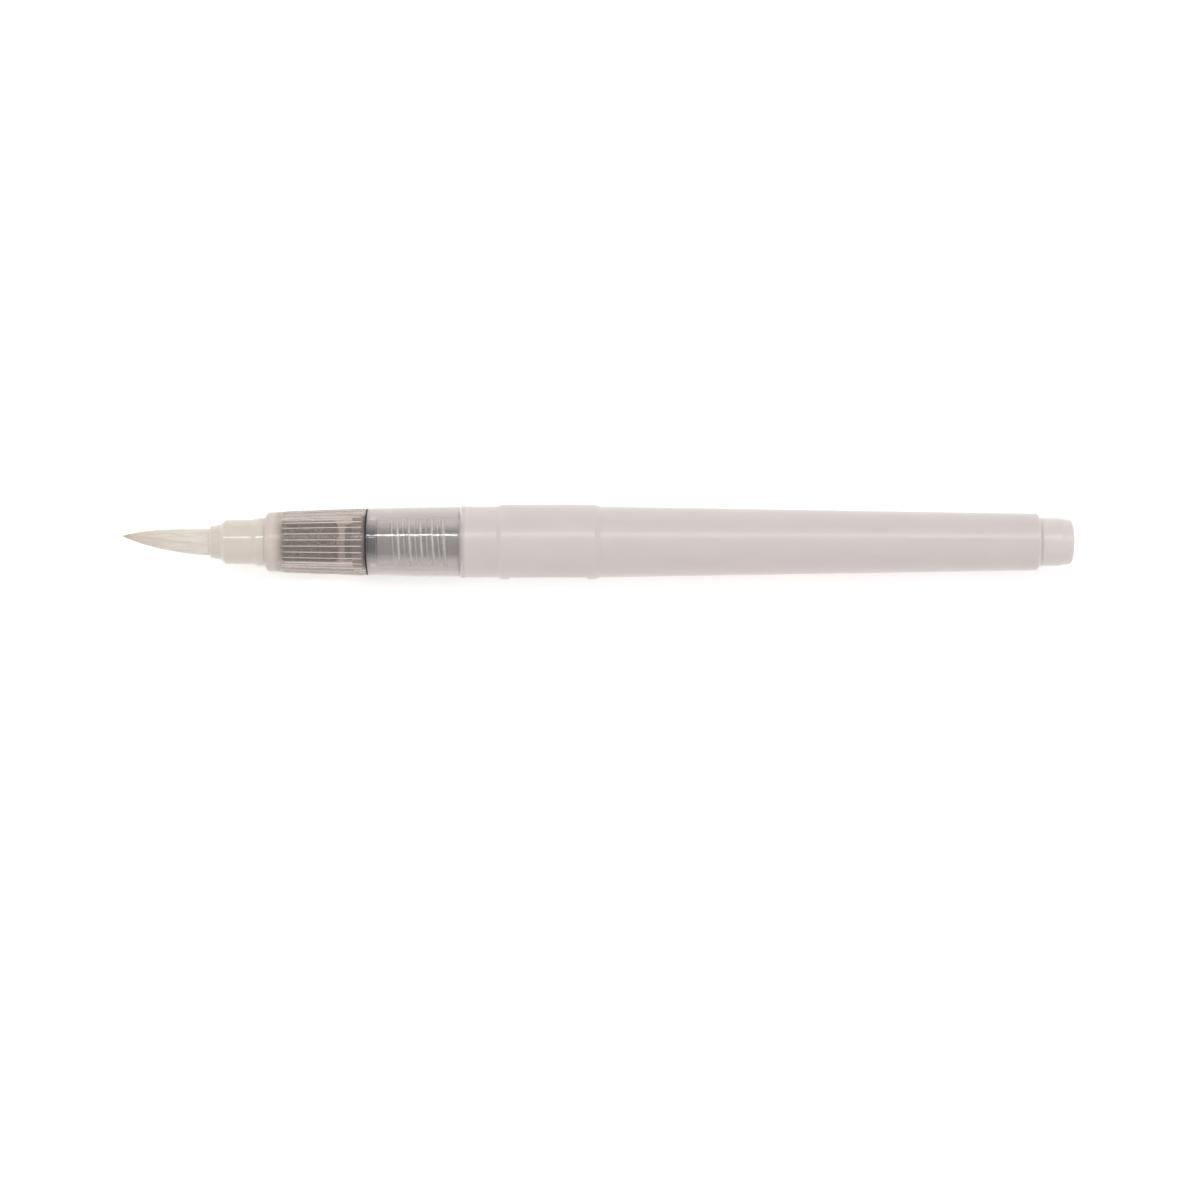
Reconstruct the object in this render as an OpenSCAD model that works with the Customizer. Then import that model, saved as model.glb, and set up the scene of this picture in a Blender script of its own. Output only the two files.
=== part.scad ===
// Refillable water brush pen without its cap: a brush head screwed onto a squeezable water barrel.
// The pen lies along X, brush tip towards -X, on the plane z = 0. Each outline is drawn as
// [radius, station] pairs, where a station is the distance from the brush tip along the axis.

/* [Brush] */
// Length of the bristles in front of the nozzle
tuft_len = 14.9; // [12:0.1:18]
// Distance over which the bristles' point swells to its full size
tuft_swell = 6; // [5:0.1:7]
// How far the point bends sideways off the axis
tuft_bend = 1; // [0:0.1:1.5]

/* [Nozzle] */
// Length of the nozzle in front of the grip shell
nozzle_len = 9.4; // [9:0.1:12]
// Radius of the lip at its rear, in front of the step
nozzle_lip_r = 2.98; // [2.9:0.01:3.1]
// Radius just behind the step
nozzle_step_r = 3.72; // [3.6:0.01:3.8]
// Radius where the nozzle meets the grip shell
nozzle_base_r = 4.05; // [3.95:0.01:4.1]
// Radius of the bore that holds the bristles
nozzle_bore_r = 2.25; // [2.2:0.01:2.35]

/* [Grip shell] */
// Length of the grip shell
shell_len = 16.95; // [16.5:0.05:20]
// Radius at the shell's front
shell_front_r = 4.98; // [4.9:0.01:5.2]
// Radius at the shell's rear
shell_rear_r = 5.6; // [5.5:0.01:5.65]
// Number of fine ribs round the grip
rib_count = 32; // [16:1:36]
// Width of a rib
rib_w = 0.3; // [0.2:0.05:0.4]
// Height of a rib above the shell
rib_h = 0.1; // [0.05:0.01:0.15]

/* [Coupling] */
// Thickness of the black sealing ring
gasket_t = 0.3; // [0.2:0.05:0.5]
// Length of the clear sleeve behind the ring
sleeve_len = 15.35; // [15:0.05:17]
// Radius of the sleeve's front
sleeve_front_r = 5.68; // [5.65:0.01:5.75]
// Radius of the sleeve half of the way back
sleeve_mid_r = 5.88; // [5.8:0.01:5.92]
// Radius of the sleeve's rear
sleeve_rear_r = 5.97; // [5.95:0.01:5.98]
// Advance of the thread in one turn
thread_pitch = 1.9; // [1.8:0.1:2]

/* [Barrel] */
// Length of the barrel from the sleeve to its rear edge
barrel_len = 97.65; // [80:0.05:110]
// Radius of the barrel just behind the sleeve
barrel_front_r = 6; // [6:0.01:6.1]
// Radius at the barrel's rear edge, in front of its chamfer
barrel_rear_r = 4.78; // [4.75:0.01:5]
// Radius of the raised band
band_r = 6.32; // [6.25:0.01:6.5]
// Distance of the band's flat from the axis
flat_d = 6; // [5.9:0.01:6.1]
// Distance of the band's narrow resting flat, underneath, from the axis
foot_d = 6.24; // [6.2:0.01:6.24]
// Wall thickness of the barrel
wall = 0.9; // [0.8:0.05:1]

/* [Tail plug] */
// Length of the plug that stands out behind the barrel
tail_len = 5.45; // [5:0.05:7]
// Radius of the plug's straight part
tail_r = 4.04; // [4:0.01:4.1]

/* [Hidden] */
round_fn = 96;
through = 0.5;       // how far a cutting solid runs past the face that it cuts

// Stations along the axis
mouth_s = tuft_len;
shell_s = mouth_s + nozzle_len;
gasket_s = shell_s + shell_len;
sleeve_s = gasket_s + gasket_t;
barrel_s = sleeve_s + sleeve_len;
barrel_end_s = barrel_s + barrel_len;
pen_len = barrel_end_s + tail_len;

// Fits inside the pen
fit_gap = 0.05;      // radial and axial clearance between pieces that are pushed together
wick_r = 0.75;
wick_hole_r = wick_r + fit_gap;
edge = 0.2;          // small chamfer on moulded edges
fine_edge = 0.1;     // chamfer on edges that meet a neighbour

// Bristles
pivot_s = mouth_s - 1.5;                               // the bristles bend about this station
bend_power = 1.2;
tuft_full_r = nozzle_bore_r + 0.15;                    // the radius that the swelling outline draws near to
ball_r = tuft_radius(pivot_s);
cup_r = ball_r + 0.15;
tip_s = 0.02;                                          // station of the point's first ring
tuft_rings = 14;
tip_crowding = 1.5;                                    // above 1 sets the rings closer near the point
ball_rings = 6;
ball_sweep = 84;
tuft_sides = 24;
root_front_s = mouth_s + fit_gap;
root_end_s = mouth_s + 4.8;
root_r = nozzle_bore_r - fit_gap;
collar_r = root_r + 0.3;
collar_t = 2;

// Nozzle
lip_front_r = 2.66;
lip_round = 0.3;
lip_end_s = mouth_s + 1.8;
step_s = mouth_s + 2.55;
flare_s = shell_s - 2.3;                               // the nozzle widens a little behind this station
flare_r = nozzle_step_r + 0.08;
flare_len = 1;
spigot_r = 3.3;
spigot_len = 2.5;
spigot_end_s = shell_s + spigot_len;

// Grip shell
shell_round = 0.8;
chamber_r = 3.65;
counterbore_r = 4.65;
counterbore_s = gasket_s - 2.2;
rib_front_s = shell_s + 2.5;
rib_end_s = gasket_s - 0.3;
rib_turn = 0.78;                                       // the first rib's turn, as a share of the spacing
shell_taper = atan((shell_rear_r - shell_front_r) / shell_len);
rib_sink = 0.15;

// Filter, wick and feed plug
filter_r = 3.55;
filter_s = spigot_end_s + 0.3;
filter_len = 9.1;
plug_s = gasket_s - 3.5;
boss_r = 3.0;
boss_len = 0.8;
flange_r = 3.7;
flange_s = plug_s + 1.5;
flange_end_s = sleeve_s + 1.5;
plug_collar_r = 3.1;
plug_collar_end_s = flange_end_s + 2.4;
stem_r = 2.45;
stem_end_s = barrel_s - 0.2;
wick_s = root_end_s + 0.3;
wick_end_s = plug_s + 1.6;
channel_r = 0.4;
groove_w = 0.5;
groove_floor_r = 1.8;
groove_s = flange_end_s + 0.3;

// Sleeve and neck
sleeve_spigot_r = counterbore_r - fit_gap;
ring_in_r = 4.15;
ring_groove_r = ring_in_r - fit_gap;                   // the ring sits in a groove at the spigot's root
ring_lip_s = gasket_s - 0.4;                           // front of the ring's lip inside the shell
sleeve_bore_r = 5.05;
flange_bore_r = flange_r + fit_gap;
mouth_gap = 0.15;                                      // between the plug's flange and the neck's mouth
neck_s = flange_end_s + mouth_gap;
neck_r = 4.45;
neck_bore_r = plug_collar_r + fit_gap;
sleeve_end_s = barrel_s - fit_gap;
sleeve_mid_s = sleeve_s + sleeve_len / 2;

// Threads: each ridge is a trapezium swept along a right-handed helix
segments_per_turn = 30;
ridge_fade = 40;                                       // degrees over which a ridge runs out at its ends
ridge_end_rise = 0.3;                                  // share of the ridge's height left at its very ends
ridge_sink = 0.15;                                     // depth of the ridge's foot inside its wall
male_crest_r = 4.9;
male_start_s = neck_s + 1.75;
male_turns = 4.75;
male_foot = 0.5;
male_top = 0.28;
female_crest_r = neck_r + 0.15;
female_start_s = male_start_s + 0.5 * thread_pitch;
female_turns = 4.75;
female_foot = 0.38;
female_top = 0.2;

// Barrel
band_s = barrel_s + 7.1;
band_len = 15.6;
front_ramp = 0.8;
rear_ramp = 0.9;
band_end_s = band_s + band_len;
taper_start_r = band_r - 0.34;
taper_start_s = band_end_s + rear_ramp;
taper_end_s = barrel_end_s - 0.55;
flat_margin = 1.45;                                    // full-radius ridge left at each end of the flat
flat_ramp = 0.45;
barrel_edge_r = tail_r + 0.08;
tail_insert_r = 3.8;
tail_bore_r = tail_insert_r + fit_gap;
tail_insert_len = 8.5;
tail_bore_s = barrel_end_s - tail_insert_len - 0.5;
cavity_front_s = barrel_s + 1;
cavity_full_s = cavity_front_s + 0.7;

// Tail plug
tail_straight = 3.15;
tail_shoulder_r = 3.86;
tail_shoulder_s = pen_len - 1.35;
tail_corner_r = tail_shoulder_r - 0.05;
tail_round = 1.2;
tail_dome = 0.1;
tail_hollow_r = 3.0;
tail_floor = 3;

function tuft_radius(s) = tuft_full_r * (1 - exp(-s / tuft_swell));

function tuft_offset(s) = tuft_bend * pow(max(0, pivot_s - s) / pivot_s, bend_power);

function arc(centre, r, from, to, steps) =
    [for (i = [0:steps])
        let (a = from + (to - from) * i / steps)
        centre + r * [cos(a), sin(a)]];

function barrel_r_at(s) =
    taper_start_r + (barrel_rear_r - taper_start_r) * (s - taper_start_s) / (taper_end_s - taper_start_s);

// Puts a solid drawn along +Z, with stations as its heights, onto the pen's axis.
module on_axis() {
    translate([-pen_len / 2, 0, foot_d])
        rotate([0, 90, 0])
            children();
}

module lathe(outline) {
    rotate_extrude($fn = round_fn)
        polygon(outline);
}

module bore(r, from, to) {
    translate([0, 0, from])
        cylinder(r = r, h = to - from, $fn = round_fn);
}

// A closed skin over rings of equal point count, each ring running anticlockwise seen from its far end.
module skin(rings) {
    sides = len(rings[0]);
    last = len(rings) - 1;
    walls = [for (j = [0:last - 1], i = [0:sides - 1])
        [j * sides + i, (j + 1) * sides + i, (j + 1) * sides + (i + 1) % sides, j * sides + (i + 1) % sides]];
    front = [for (i = [0:sides - 1]) i];
    rear = [for (i = [sides - 1:-1:0]) last * sides + i];
    polyhedron(points = [for (ring = rings) each ring], faces = concat(walls, [front, rear]), convexity = 6);
}

// The cross-section of a thread ridge at one turning angle, as points in space.
function ridge_section(angle, s, foot_r, crest_r, foot, top) =
    [for (p = [[foot_r, -foot], [crest_r, -top], [crest_r, top], [foot_r, foot]])
        [p[0] * cos(angle), p[0] * sin(angle), s + p[1]]];

// A helical ridge whose crest rises and falls away gently at its two ends.
module thread_ridge(foot_r, crest_r, foot, top, start_s, turns) {
    sweep = 360 * turns;
    steps = round(segments_per_turn * turns);
    rings = [for (i = [0:steps])
        let (a = sweep * i / steps)
        let (rise = max(ridge_end_rise, min(1, a / ridge_fade, (sweep - a) / ridge_fade)))
        let (top_r = foot_r + (crest_r - foot_r) * rise)
        ridge_section(a, start_s + thread_pitch * a / 360, foot_r, top_r, foot, top)];
    // An inward ridge is a mirror image of an outward one, so its rings run the other way.
    if (crest_r > foot_r)
        skin([for (i = [steps:-1:0]) rings[i]]);
    else
        skin(rings);
}

// The free part of the bristles: a slightly bent point with a ball-shaped rear that turns in the root's cup.
module brush_tuft() {
    stations = [for (i = [0:tuft_rings]) tip_s + (pivot_s - tip_s) * pow(i / tuft_rings, tip_crowding)];
    point = [for (s = stations) [s, tuft_radius(s), tuft_offset(s)]];
    ball = [for (i = [1:ball_rings])
        let (a = ball_sweep * i / ball_rings)
        [pivot_s + ball_r * sin(a), ball_r * cos(a), 0]];
    color([0.86, 0.82, 0.77])
        on_axis()
            skin([for (p = concat(point, ball))
                [for (i = [tuft_sides - 1:-1:0])
                    let (a = 360 * i / tuft_sides)
                    [p[1] * cos(a), p[1] * sin(a) + p[2], p[0]]]]);
}

// The bristles inside the nozzle, hollowed in front to clear the moving part's ball.
module tuft_root() {
    color([0.85, 0.81, 0.77])
        on_axis()
            difference() {
                bore(root_r, root_front_s, root_end_s);
                translate([0, 0, pivot_s])
                    sphere(r = cup_r, $fn = round_fn);
            }
}

// The disc of melted bristle ends that keeps the tuft from pulling out.
module tuft_collar() {
    color([0.8, 0.77, 0.7])
        on_axis()
            difference() {
                bore(collar_r, root_end_s + fit_gap, root_end_s + collar_t);
                bore(wick_hole_r, root_end_s - through, root_end_s + collar_t + through);
            }
}

module nozzle() {
    outer = concat(
        arc([lip_front_r - lip_round, mouth_s + lip_round], lip_round, -90, 0, 6),
        [[nozzle_lip_r, lip_end_s],
         [nozzle_step_r, step_s],
         [flare_r, flare_s],
         [nozzle_base_r, flare_s + flare_len],
         [nozzle_base_r, shell_s - fit_gap],
         [spigot_r, shell_s - fit_gap],
         [spigot_r, spigot_end_s]]);
    inner = [[collar_r + fit_gap, spigot_end_s],
             [collar_r + fit_gap, root_end_s],
             [nozzle_bore_r, root_end_s],
             [nozzle_bore_r, mouth_s]];
    color([0.86, 0.83, 0.81])
        on_axis()
            lathe(concat(outer, inner));
}

// One straight rib that follows the grip's taper.
module grip_rib() {
    front_r = shell_front_r + (rib_front_s - shell_s) * tan(shell_taper);
    translate([front_r - rib_sink, 0, rib_front_s])
        rotate([0, shell_taper, 0])
            translate([0, -rib_w / 2, 0])
                cube([rib_sink + rib_h, rib_w, rib_end_s - rib_front_s]);
}

module front_shell() {
    outer = concat(
        arc([shell_front_r - shell_round, shell_s + shell_round], shell_round, -90, 0, 5),
        [[shell_rear_r, gasket_s]]);
    inner = [[counterbore_r, gasket_s],
             [counterbore_r, counterbore_s],
             [chamber_r, counterbore_s],
             [chamber_r, spigot_end_s + fit_gap],
             [spigot_r + fit_gap, spigot_end_s + fit_gap],
             [spigot_r + fit_gap, shell_s]];
    color([0.8, 0.76, 0.74])
        on_axis()
            union() {
                lathe(concat(outer, inner));
                for (i = [0:rib_count - 1])
                    rotate([0, 0, (i + rib_turn) * 360 / rib_count])
                        grip_rib();
            }
}

// The porous cylinder that slows the water down.
module flow_filter() {
    end_s = filter_s + filter_len;
    color([0.45, 0.43, 0.42])
        on_axis()
            lathe([[wick_hole_r, filter_s],
                   [filter_r - edge, filter_s],
                   [filter_r, filter_s + edge],
                   [filter_r, end_s - edge],
                   [filter_r - edge, end_s],
                   [wick_hole_r, end_s]]);
}

module feed_wick() {
    color([0.9, 0.89, 0.85])
        on_axis()
            bore(wick_r, wick_s, wick_end_s);
}

// The dark stopper whose stem carries water out of the barrel's neck.
module feed_plug() {
    color([0.36, 0.35, 0.36])
        on_axis()
            difference() {
                lathe([[0, plug_s],
                       [boss_r, plug_s],
                       [boss_r, plug_s + boss_len],
                       [flange_r, flange_s],
                       [flange_r, flange_end_s],
                       [plug_collar_r, flange_end_s],
                       [plug_collar_r, plug_collar_end_s],
                       [stem_r, plug_collar_end_s],
                       [stem_r, stem_end_s - edge],
                       [stem_r - edge, stem_end_s],
                       [0, stem_end_s]]);
                bore(wick_hole_r, plug_s - through, wick_end_s + fit_gap);
                bore(channel_r, plug_s, stem_end_s + through);
                translate([-groove_w / 2, groove_floor_r, groove_s])
                    cube([groove_w, flange_r, stem_end_s]);
            }
}

// The black sealing ring: a flange between the shell and the sleeve, and a lip inside the shell.
module joint_gasket() {
    color([0.1, 0.1, 0.1])
        on_axis()
            lathe([[ring_in_r, ring_lip_s],
                   [sleeve_spigot_r, ring_lip_s],
                   [sleeve_spigot_r, gasket_s],
                   [shell_rear_r, gasket_s],
                   [shell_rear_r, sleeve_s],
                   [ring_in_r, sleeve_s]]);
}

// The clear sleeve: a plain spigot in front and an inside thread that takes the barrel's neck.
module coupling_sleeve() {
    color([0.88, 0.9, 0.92, 0.45])
        on_axis()
            union() {
                lathe([[flange_bore_r, counterbore_s + fit_gap],
                       [sleeve_spigot_r, counterbore_s + fit_gap],
                       [sleeve_spigot_r, ring_lip_s - fit_gap],
                       [ring_groove_r, ring_lip_s - fit_gap],
                       [ring_groove_r, sleeve_s],
                       [sleeve_front_r, sleeve_s],
                       [sleeve_mid_r, sleeve_mid_s],
                       [sleeve_rear_r, sleeve_end_s],
                       [sleeve_bore_r, sleeve_end_s],
                       [sleeve_bore_r, flange_end_s],
                       [flange_bore_r, flange_end_s]]);
                thread_ridge(sleeve_bore_r + ridge_sink, female_crest_r, female_foot, female_top,
                             female_start_s, female_turns);
            }
}

// The outline of the barrel's outside from the neck's mouth to the rear edge.
function barrel_outside() =
    [[neck_bore_r, neck_s],
     [neck_r - edge, neck_s],
     [neck_r, neck_s + edge],
     [neck_r, barrel_s],
     [barrel_front_r - fine_edge, barrel_s],
     [barrel_front_r, barrel_s + fine_edge],
     [barrel_front_r, band_s - front_ramp],
     [band_r, band_s],
     [band_r, band_end_s],
     [taper_start_r, taper_start_s],
     [barrel_rear_r, taper_end_s],
     [barrel_edge_r, barrel_end_s]];

function barrel_inside() =
    [[tail_bore_r, barrel_end_s],
     [tail_bore_r, tail_bore_s],
     [barrel_r_at(tail_bore_s) - wall, tail_bore_s],
     [taper_start_r - wall, taper_start_s],
     [barrel_front_r - wall, cavity_full_s],
     [neck_bore_r, cavity_front_s]];

// The cut that makes the band's flat, with a short ramp at each end.
module band_flat() {
    from = band_s + flat_margin;
    to = band_end_s - flat_margin;
    reach = flat_d + flat_ramp;
    translate([band_r, 0, 0])
        rotate([0, -90, 0])
            linear_extrude(2 * band_r)
                polygon([[from, -flat_d],
                         [to, -flat_d],
                         [to + flat_ramp, -reach],
                         [from - flat_ramp, -reach]]);
}

// The cut that makes the narrow flat on which the band rests.
module band_foot() {
    translate([foot_d, -band_r, band_s - front_ramp])
        cube([band_r, 2 * band_r, band_len + front_ramp + rear_ramp]);
}

// The squeezable water barrel with its threaded neck, raised band and open rear.
module reservoir() {
    color([0.85, 0.82, 0.8, 0.7])
        on_axis()
            union() {
                difference() {
                    lathe(concat(barrel_outside(), barrel_inside()));
                    band_flat();
                    band_foot();
                }
                thread_ridge(neck_r - ridge_sink, male_crest_r, male_foot, male_top,
                             male_start_s, male_turns);
            }
}

// The stopper pushed into the barrel's rear, hollow on its inner side.
module tail_plug() {
    corner_s = pen_len - tail_dome - tail_round;
    outer = concat(
        [[0, pen_len]],
        arc([tail_corner_r - tail_round, corner_s], tail_round, 90, 0, 6),
        [[tail_shoulder_r, tail_shoulder_s],
         [tail_r, barrel_end_s + tail_straight],
         [tail_r, barrel_end_s + fit_gap],
         [tail_insert_r, barrel_end_s + fit_gap],
         [tail_insert_r, barrel_end_s - tail_insert_len]]);
    inner = [[tail_hollow_r, barrel_end_s - tail_insert_len],
             [tail_hollow_r, pen_len - tail_floor],
             [0, pen_len - tail_floor]];
    color([0.86, 0.82, 0.8])
        on_axis()
            lathe(concat(outer, inner));
}

brush_tuft();
tuft_root();
tuft_collar();
nozzle();
front_shell();
flow_filter();
feed_wick();
feed_plug();
joint_gasket();
coupling_sleeve();
reservoir();
tail_plug();
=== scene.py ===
"""Looks of the water brush pen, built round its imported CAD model."""
import math
import random

import bmesh
import bpy
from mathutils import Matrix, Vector, noise


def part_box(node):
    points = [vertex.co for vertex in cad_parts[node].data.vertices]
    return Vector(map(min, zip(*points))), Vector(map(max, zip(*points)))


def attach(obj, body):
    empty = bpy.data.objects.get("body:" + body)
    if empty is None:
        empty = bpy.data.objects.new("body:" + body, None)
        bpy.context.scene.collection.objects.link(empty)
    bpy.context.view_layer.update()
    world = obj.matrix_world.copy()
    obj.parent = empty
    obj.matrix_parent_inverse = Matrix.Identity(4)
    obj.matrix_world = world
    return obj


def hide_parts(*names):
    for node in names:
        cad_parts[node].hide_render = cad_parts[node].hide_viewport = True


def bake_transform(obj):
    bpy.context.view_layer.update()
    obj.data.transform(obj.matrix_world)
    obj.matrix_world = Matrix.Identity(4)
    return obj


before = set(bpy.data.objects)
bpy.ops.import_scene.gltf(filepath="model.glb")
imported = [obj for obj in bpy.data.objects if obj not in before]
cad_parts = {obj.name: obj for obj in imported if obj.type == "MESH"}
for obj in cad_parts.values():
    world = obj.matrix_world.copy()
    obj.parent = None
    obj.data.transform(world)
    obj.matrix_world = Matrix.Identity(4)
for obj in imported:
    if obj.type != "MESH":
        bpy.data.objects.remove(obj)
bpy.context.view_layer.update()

# ---------------------------------------------------------------- the pen's sizes, in millimetres
# A station is a distance from the brush tip along the pen's axis. What a box of the CAD model can tell
# is read from it. The rest are the bores and steps inside the boxes.
MM = 0.001
TURN = 2 * math.pi
TIP_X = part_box("brush_tuft")[0][0]
AXIS_Z = (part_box("joint_gasket")[0][2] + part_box("joint_gasket")[1][2]) / 2


def span(node):
    """The stations of a CAD node's front and rear."""
    low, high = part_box(node)
    return (low[0] - TIP_X) / MM, (high[0] - TIP_X) / MM


def radius(node):
    """Half a CAD node's greatest width."""
    low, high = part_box(node)
    return (high[1] - low[1]) / 2 / MM


FIT = 0.05           # clearance between pieces that are pushed together
SEAM = 0.01          # gap left between two pieces where no light may show through

# Stations
MOUTH_S, SPIGOT_END_S = span("nozzle")
SHELL_S, GASKET_S = span("front_shell")
RING_LIP_S, SLEEVE_S = span("joint_gasket")
SLEEVE_FRONT_S, SLEEVE_END_S = span("coupling_sleeve")
NECK_S, BARREL_END_S = span("reservoir")
FILTER_S, FILTER_END_S = span("flow_filter")
WICK_S, WICK_END_S = span("feed_wick")
PLUG_S, STEM_END_S = span("feed_plug")
COLLAR_S, COLLAR_END_S = span("tuft_collar")
ROOT_END_S = span("tuft_root")[1]
TAIL_FRONT_S, PEN_END_S = span("tail_plug")
LIP_END_S = MOUTH_S + 1.8
STEP_S = MOUTH_S + 2.55
FLARE_S = SHELL_S - 2.3
FLARE_END_S = FLARE_S + 1
FLANGE_S = PLUG_S + 1.5
FLANGE_END_S = NECK_S - 0.15
PLUG_COLLAR_END_S = FLANGE_END_S + 2.4
BARREL_S = SLEEVE_END_S + FIT
BAND_S = BARREL_S + 7.1
BAND_END_S = BAND_S + 15.6
FRONT_RAMP = 0.8
REAR_RAMP = 0.9
TAPER_S = BAND_END_S + REAR_RAMP
TAPER_END_S = BARREL_END_S - 0.55
TAIL_BORE_S = BARREL_END_S - 9.0
TAIL_STRAIGHT_END_S = BARREL_END_S + 3.15
TAIL_SHOULDER_S = PEN_END_S - 1.35
TAIL_FLOOR_S = PEN_END_S - 3

# Radii of the brush head
NOZZLE_BORE_R = 2.25
ROOT_CHAMBER_R = 2.55
LIP_FRONT_R = 2.66
LIP_REAR_R = 2.98
NOZZLE_STEP_R = 3.72
FLARE_R = NOZZLE_STEP_R + 0.08
NOZZLE_BASE_R = radius("nozzle")
SPIGOT_R = 3.3
TUFT_COLLAR_R = 2.5
TUFT_COLLAR_BORE_R = 0.8
SHELL_FRONT_R = 4.98
SHELL_REAR_R = radius("joint_gasket")
CHAMBER_R = 3.65
COUNTERBORE_R = 4.65
RING_IN_R = 4.15
FILTER_R = radius("flow_filter")
WICK_R = radius("feed_wick")
WICK_HOLE_R = WICK_R + FIT
FLANGE_R = radius("feed_plug")
BOSS_R = 3.0
PLUG_COLLAR_R = 3.1
STEM_R = 2.45
CHANNEL_R = 0.4
GROOVE_FLOOR_R = 1.8

# Radii of the sleeve, the barrel and the tail
SLEEVE_SPIGOT_R = COUNTERBORE_R - FIT
SLEEVE_FRONT_R = 5.68
SLEEVE_MID_R = 5.88
SLEEVE_REAR_R = radius("coupling_sleeve")
SLEEVE_BORE_R = 5.05
NECK_R = 4.45
NECK_BORE_R = 3.15
BARREL_FRONT_R = 6.0
BAND_R = radius("reservoir")
TAPER_R = BAND_R - 0.34
BARREL_REAR_R = 4.78
WALL = 0.9
TAIL_R = 4.04
TAIL_SHOULDER_R = 3.86
TAIL_INSERT_R = 3.8
TAIL_HOLLOW_R = 3.0

# The band's flat side, and the narrow flat underneath on which the pen lies. D is a distance from the axis.
FLAT_D = 6.0
FLAT_MARGIN = 1.45
FLAT_RAMP = 0.45
FLAT_BLEND = 0.03
FOOT_D = AXIS_Z / MM

# Threads of the neck and the sleeve
THREAD_PITCH = 1.9
THREAD_TURNS = 4.75
THREAD_PHASE = math.pi / 2
THREAD_S = NECK_S + 1.75
THREAD_CREST_R = 4.9
INNER_THREAD_S = THREAD_S + 0.5 * THREAD_PITCH
INNER_CREST_R = NECK_R + 0.15
THREAD_MARGIN = 0.7
RIDGE_TOP = 0.04     # half width of a ridge's top
RIDGE_FOOT = 0.28    # half width of its foot

# Ribs of the grip
RIB_COUNT = 32
RIB_PITCH = TURN / RIB_COUNT
RIB_TURN = 0.78      # the first rib's turn, as a share of the pitch
RIB_W = 0.24
RIB_H = 0.06
RIB_S = SHELL_S + 2.5
RIB_END_S = GASKET_S - 0.3

# Outline of the tuft
PIVOT_S = MOUTH_S - 1.5
TUFT_SWELL = 6
TUFT_FULL_R = NOZZLE_BORE_R + 0.15
TUFT_BEND = 1.0
BEND_POWER = 1.2


# ---------------------------------------------------------------- mesh tools
ARC_STEPS = 5


def softened(outline):
    """The outline with each corner that states a third number rounded to that radius."""
    points = []
    for i, corner in enumerate(outline):
        at = Vector(corner[:2])
        if len(corner) < 3:
            points.append(at)
            continue
        before = Vector(outline[i - 1][:2]) - at
        after = Vector(outline[(i + 1) % len(outline)][:2]) - at
        half = before.angle(after) / 2
        reach = min(corner[2] / math.tan(half), 0.45 * before.length, 0.45 * after.length)
        r = reach * math.tan(half)
        start = at + before.normalized() * reach
        end = at + after.normalized() * reach
        centre = at + (before.normalized() + after.normalized()).normalized() * (r / math.sin(half))
        for step in range(ARC_STEPS + 1):
            towards = (start - centre).lerp(end - centre, step / ARC_STEPS)
            points.append(centre + towards.normalized() * r)
    return points


def finely(points, step, start, end):
    """The points with extra ones between them wherever a stretch lies within start and end."""
    slack = 0.01
    out = [points[0]]
    for a, b in zip(points, points[1:]):
        inside = min(a[0], b[0]) >= start - slack and max(a[0], b[0]) <= end + slack
        count = max(1, math.ceil((b - a).length / step)) if inside else 1
        out += [a.lerp(b, k / count) for k in range(1, count + 1)]
    return out


def refined(points, step, start, end, chosen):
    """The closed outline with extra points between start and end on each stretch that chosen(a, b) picks."""
    end_gap = 0.05
    out = []
    for i, a in enumerate(points):
        b = points[(i + 1) % len(points)]
        out.append(a)
        if not chosen(a, b):
            continue
        low = max(start, min(a[0], b[0]) + end_gap)
        high = min(end, max(a[0], b[0]) - end_gap)
        count = math.ceil((high - low) / step)
        stations = [low + (high - low) * k / count for k in range(count + 1)]
        if a[0] > b[0]:
            stations.reverse()
        out += [a.lerp(b, (s - a[0]) / (b[0] - a[0])) for s in stations]
    return out


def long_and_at(r):
    """Picks the long stretches that lie at a radius."""
    def chosen(a, b):
        return abs(a[1] - r) < 0.01 and abs(b[1] - r) < 0.01 and abs(a[0] - b[0]) > 3
    return chosen


def new_object(name, verts, faces):
    mesh = bpy.data.meshes.new(name)
    mesh.from_pydata(verts, [], faces)
    bm = bmesh.new()
    bm.from_mesh(mesh)
    bmesh.ops.recalc_face_normals(bm, faces=bm.faces)
    bm.to_mesh(mesh)
    bm.free()
    mesh.shade_smooth()
    obj = bpy.data.objects.new(name, mesh)
    bpy.context.scene.collection.objects.link(obj)
    return obj


def turned(name, outline, angles, relief=None):
    """A solid of revolution round the pen's axis from an outline of (station, radius) points.

    relief(s, r, angle) may return a different radius for a point of the surface. An outline that starts
    and ends at radius 0 has a pole at each end, and any other one is closed.
    """
    verts, rings = [], []
    for s, r in outline:
        if r < 1e-6:
            rings.append([len(verts)])
            verts.append((TIP_X + s * MM, 0, AXIS_Z))
            continue
        rings.append(range(len(verts), len(verts) + len(angles)))
        for angle in angles:
            out = (relief(s, r, angle) if relief else r) * MM
            verts.append((TIP_X + s * MM, out * math.cos(angle), AXIS_Z + out * math.sin(angle)))
    faces = []
    closed = len(rings[0]) > 1
    for i in range(len(rings) if closed else len(rings) - 1):
        a, b = rings[i], rings[(i + 1) % len(rings)]
        for k in range(len(angles)):
            n = (k + 1) % len(angles)
            if len(a) == 1:
                faces.append((a[0], b[k], b[n]))
            elif len(b) == 1:
                faces.append((a[k], b[0], a[n]))
            else:
                faces.append((a[k], b[k], b[n], a[n]))
    return new_object(name, verts, faces)


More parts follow.
